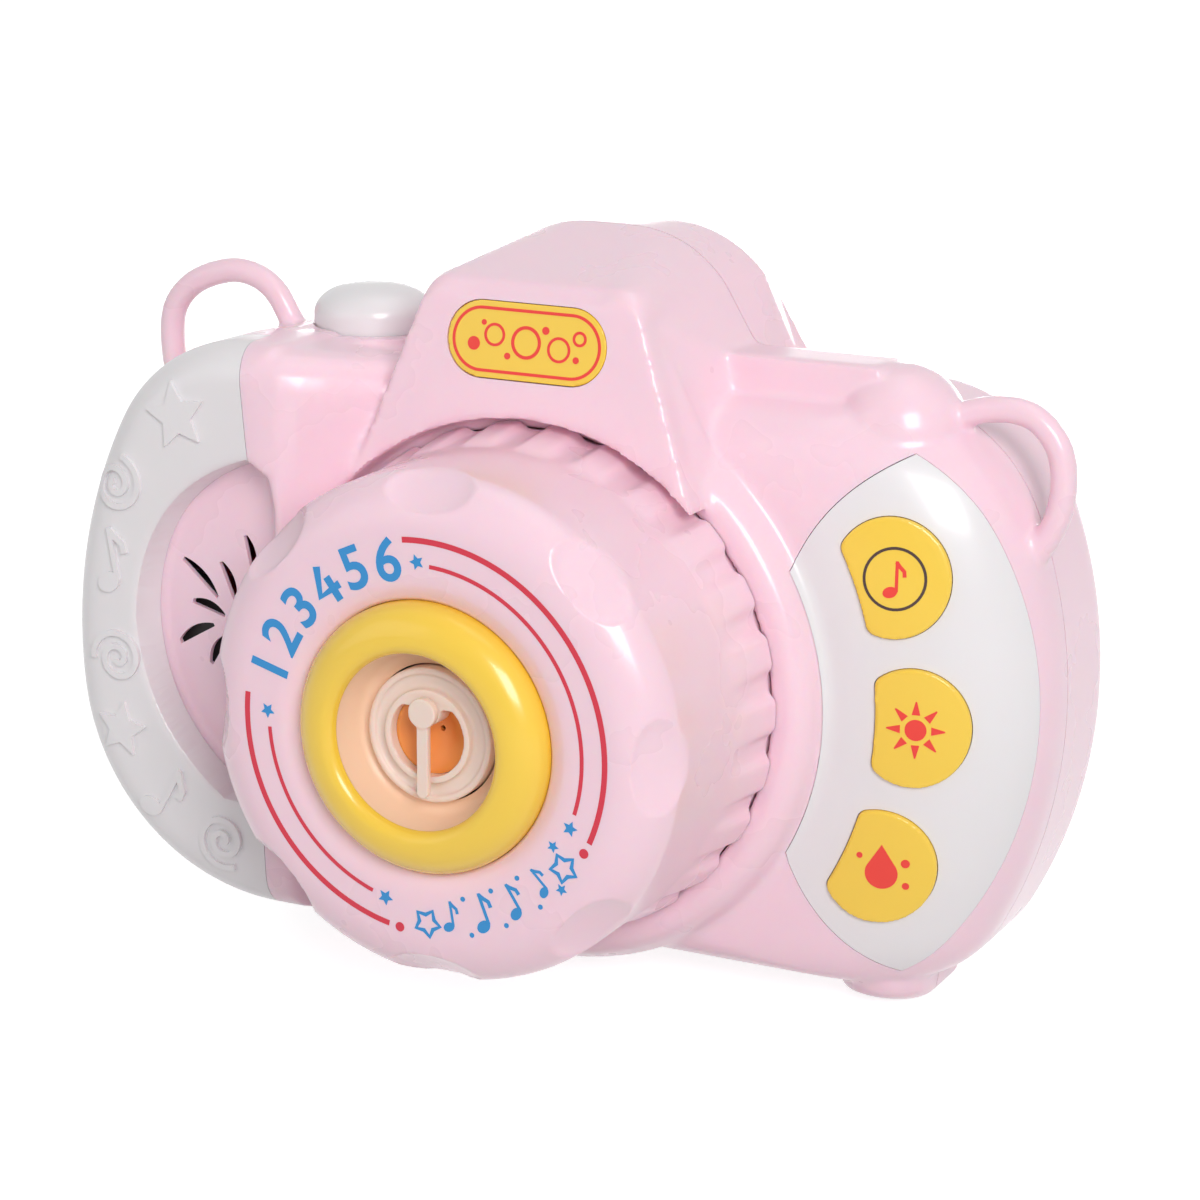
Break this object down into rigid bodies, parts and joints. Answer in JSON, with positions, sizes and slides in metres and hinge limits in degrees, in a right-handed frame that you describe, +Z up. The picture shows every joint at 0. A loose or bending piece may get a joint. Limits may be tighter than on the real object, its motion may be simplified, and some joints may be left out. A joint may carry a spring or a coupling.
{
  "type": "bubble camera toy",
  "caption": "Camera-shaped bubble toy with a twist-off soap lens, a wiped bubble nozzle, a motor fan and pump inside, a side grip, keys, a shutter button and strap loops",
  "frame": {"origin": "on the ground, under the middle of the toy", "axes": "+X to the right of someone who looks at the lens, +Y from the lens to the back, +Z up"},
  "size_m": [0.1827, 0.0979, 0.1353],
  "materials": {
    "pink_plastic": "glossy moulded ABS, pale pink",
    "white_plastic": "glossy moulded ABS, white",
    "yellow_plastic": "glossy moulded ABS, yellow",
    "peach_plastic": "satin moulded plastic, peach",
    "orange_plastic": "satin moulded plastic, orange red",
    "natural_plastic": "natural translucent plastic",
    "grey_plastic": "matte moulded plastic, grey",
    "black_plastic": "matte moulded plastic, black",
    "clear_plastic": "clear moulded plastic and soft tube",
    "green_board": "circuit board with solder mask",
    "steel": "plated steel",
    "black_rubber": "soft rubber ring",
    "cell_can": "plain battery sleeve"
  },
  "bodies": {
    "case": {"front_shell": "pink_plastic", "rear_shell": "pink_plastic", "grip_ring": "white_plastic", "side_panel": "white_plastic", "key_board": "green_board", "shutter_spring": "steel", "shutter_switch": "black_plastic", "badge_plate": "yellow_plastic", "strap_loop_right": "pink_plastic", "strap_loop_left": "pink_plastic", "air_duct": "orange_plastic", "bubble_nozzle": "natural_plastic", "fan_housing": "grey_plastic", "gearbox_plate": "grey_plastic", "motor_can": "steel", "pump_housing": "grey_plastic", "suction_tube": "clear_plastic", "supply_tube": "clear_plastic", "battery_tray": "black_plastic", "battery_1": "cell_can", "battery_2": "cell_can", "battery_3": "cell_can", "contact_spring_1": "steel", "contact_spring_2": "steel", "contact_spring_3": "steel", "contact_plate_left": "steel", "contact_plate_right": "steel", "circuit_board": "green_board", "speaker": "black_plastic", "case_screw_1": "steel", "case_screw_2": "steel", "case_screw_3": "steel", "case_screw_4": "steel", "case_screw_5": "steel", "case_screw_6": "steel"},
    "shutter": {"shutter_button": "white_plastic"},
    "top_key": {"key_top": "yellow_plastic"},
    "middle_key": {"key_middle": "yellow_plastic"},
    "bottom_key": {"key_bottom": "yellow_plastic"},
    "lens": {"lens_barrel": "pink_plastic", "lens_bezel": "yellow_plastic", "lens_cup": "peach_plastic", "solution_tank": "clear_plastic", "tank_lid": "clear_plastic", "lens_seal": "black_rubber"},
    "wiper": {"wiper_arm": "natural_plastic", "wiper_shaft": "grey_plastic"},
    "fan": {"fan_impeller": "white_plastic", "motor_shaft": "steel", "motor_pinion": "steel"},
    "pump": {"reduction_gear": "white_plastic", "pump_rotor": "white_plastic"},
    "door": {"battery_door": "pink_plastic", "door_screw": "steel"}
  },
  "joints": [
    {"name": "shutter_press", "type": "slide", "parent": "case", "child": "shutter", "axis": [0, 0, -1], "range_m": [0, 0.004], "stiffness_N_per_m": 300, "deforming": ["shutter_spring"]},
    {"name": "key_top_press", "type": "slide", "parent": "case", "child": "top_key", "axis": [-0.257, 0.9613, -0.0995], "range_m": [0, 0.0012], "stiffness_N_per_m": 600},
    {"name": "key_middle_press", "type": "slide", "parent": "case", "child": "middle_key", "axis": [-0.2756, 0.9613, 0.004], "range_m": [0, 0.0012], "stiffness_N_per_m": 600},
    {"name": "key_bottom_press", "type": "slide", "parent": "case", "child": "bottom_key", "axis": [-0.254, 0.9613, 0.107], "range_m": [0, 0.0012], "stiffness_N_per_m": 600},
    {"name": "lens_twist", "type": "hinge", "parent": "case", "child": "lens", "pos_m": [0, -0.0045, 0.057], "axis": [0, 1, 0], "range_deg": [0, 35]},
    {"name": "wiper_sweep", "type": "hinge", "parent": "case", "child": "wiper", "pos_m": [0, -0.043, 0.0615], "axis": [0, 1, 0], "range_deg": [-50, 50]},
    {"name": "pump_spin", "type": "hinge", "parent": "case", "child": "pump", "pos_m": [0.0182, 0.0246, 0.04407], "axis": [0, 1, 0], "continuous": true},
    {"name": "fan_spin", "type": "hinge", "parent": "case", "child": "fan", "pos_m": [0.036, 0.0246, 0.057], "axis": [0, 1, 0], "continuous": true},
    {"name": "door_slide", "type": "slide", "parent": "case", "child": "door", "axis": [0, 1, 0], "range_m": [0, 0.02]}
  ],
  "couplings": [
    {"joint": "pump_spin", "follows": "fan_spin", "ratio": -0.19565}
  ]
}
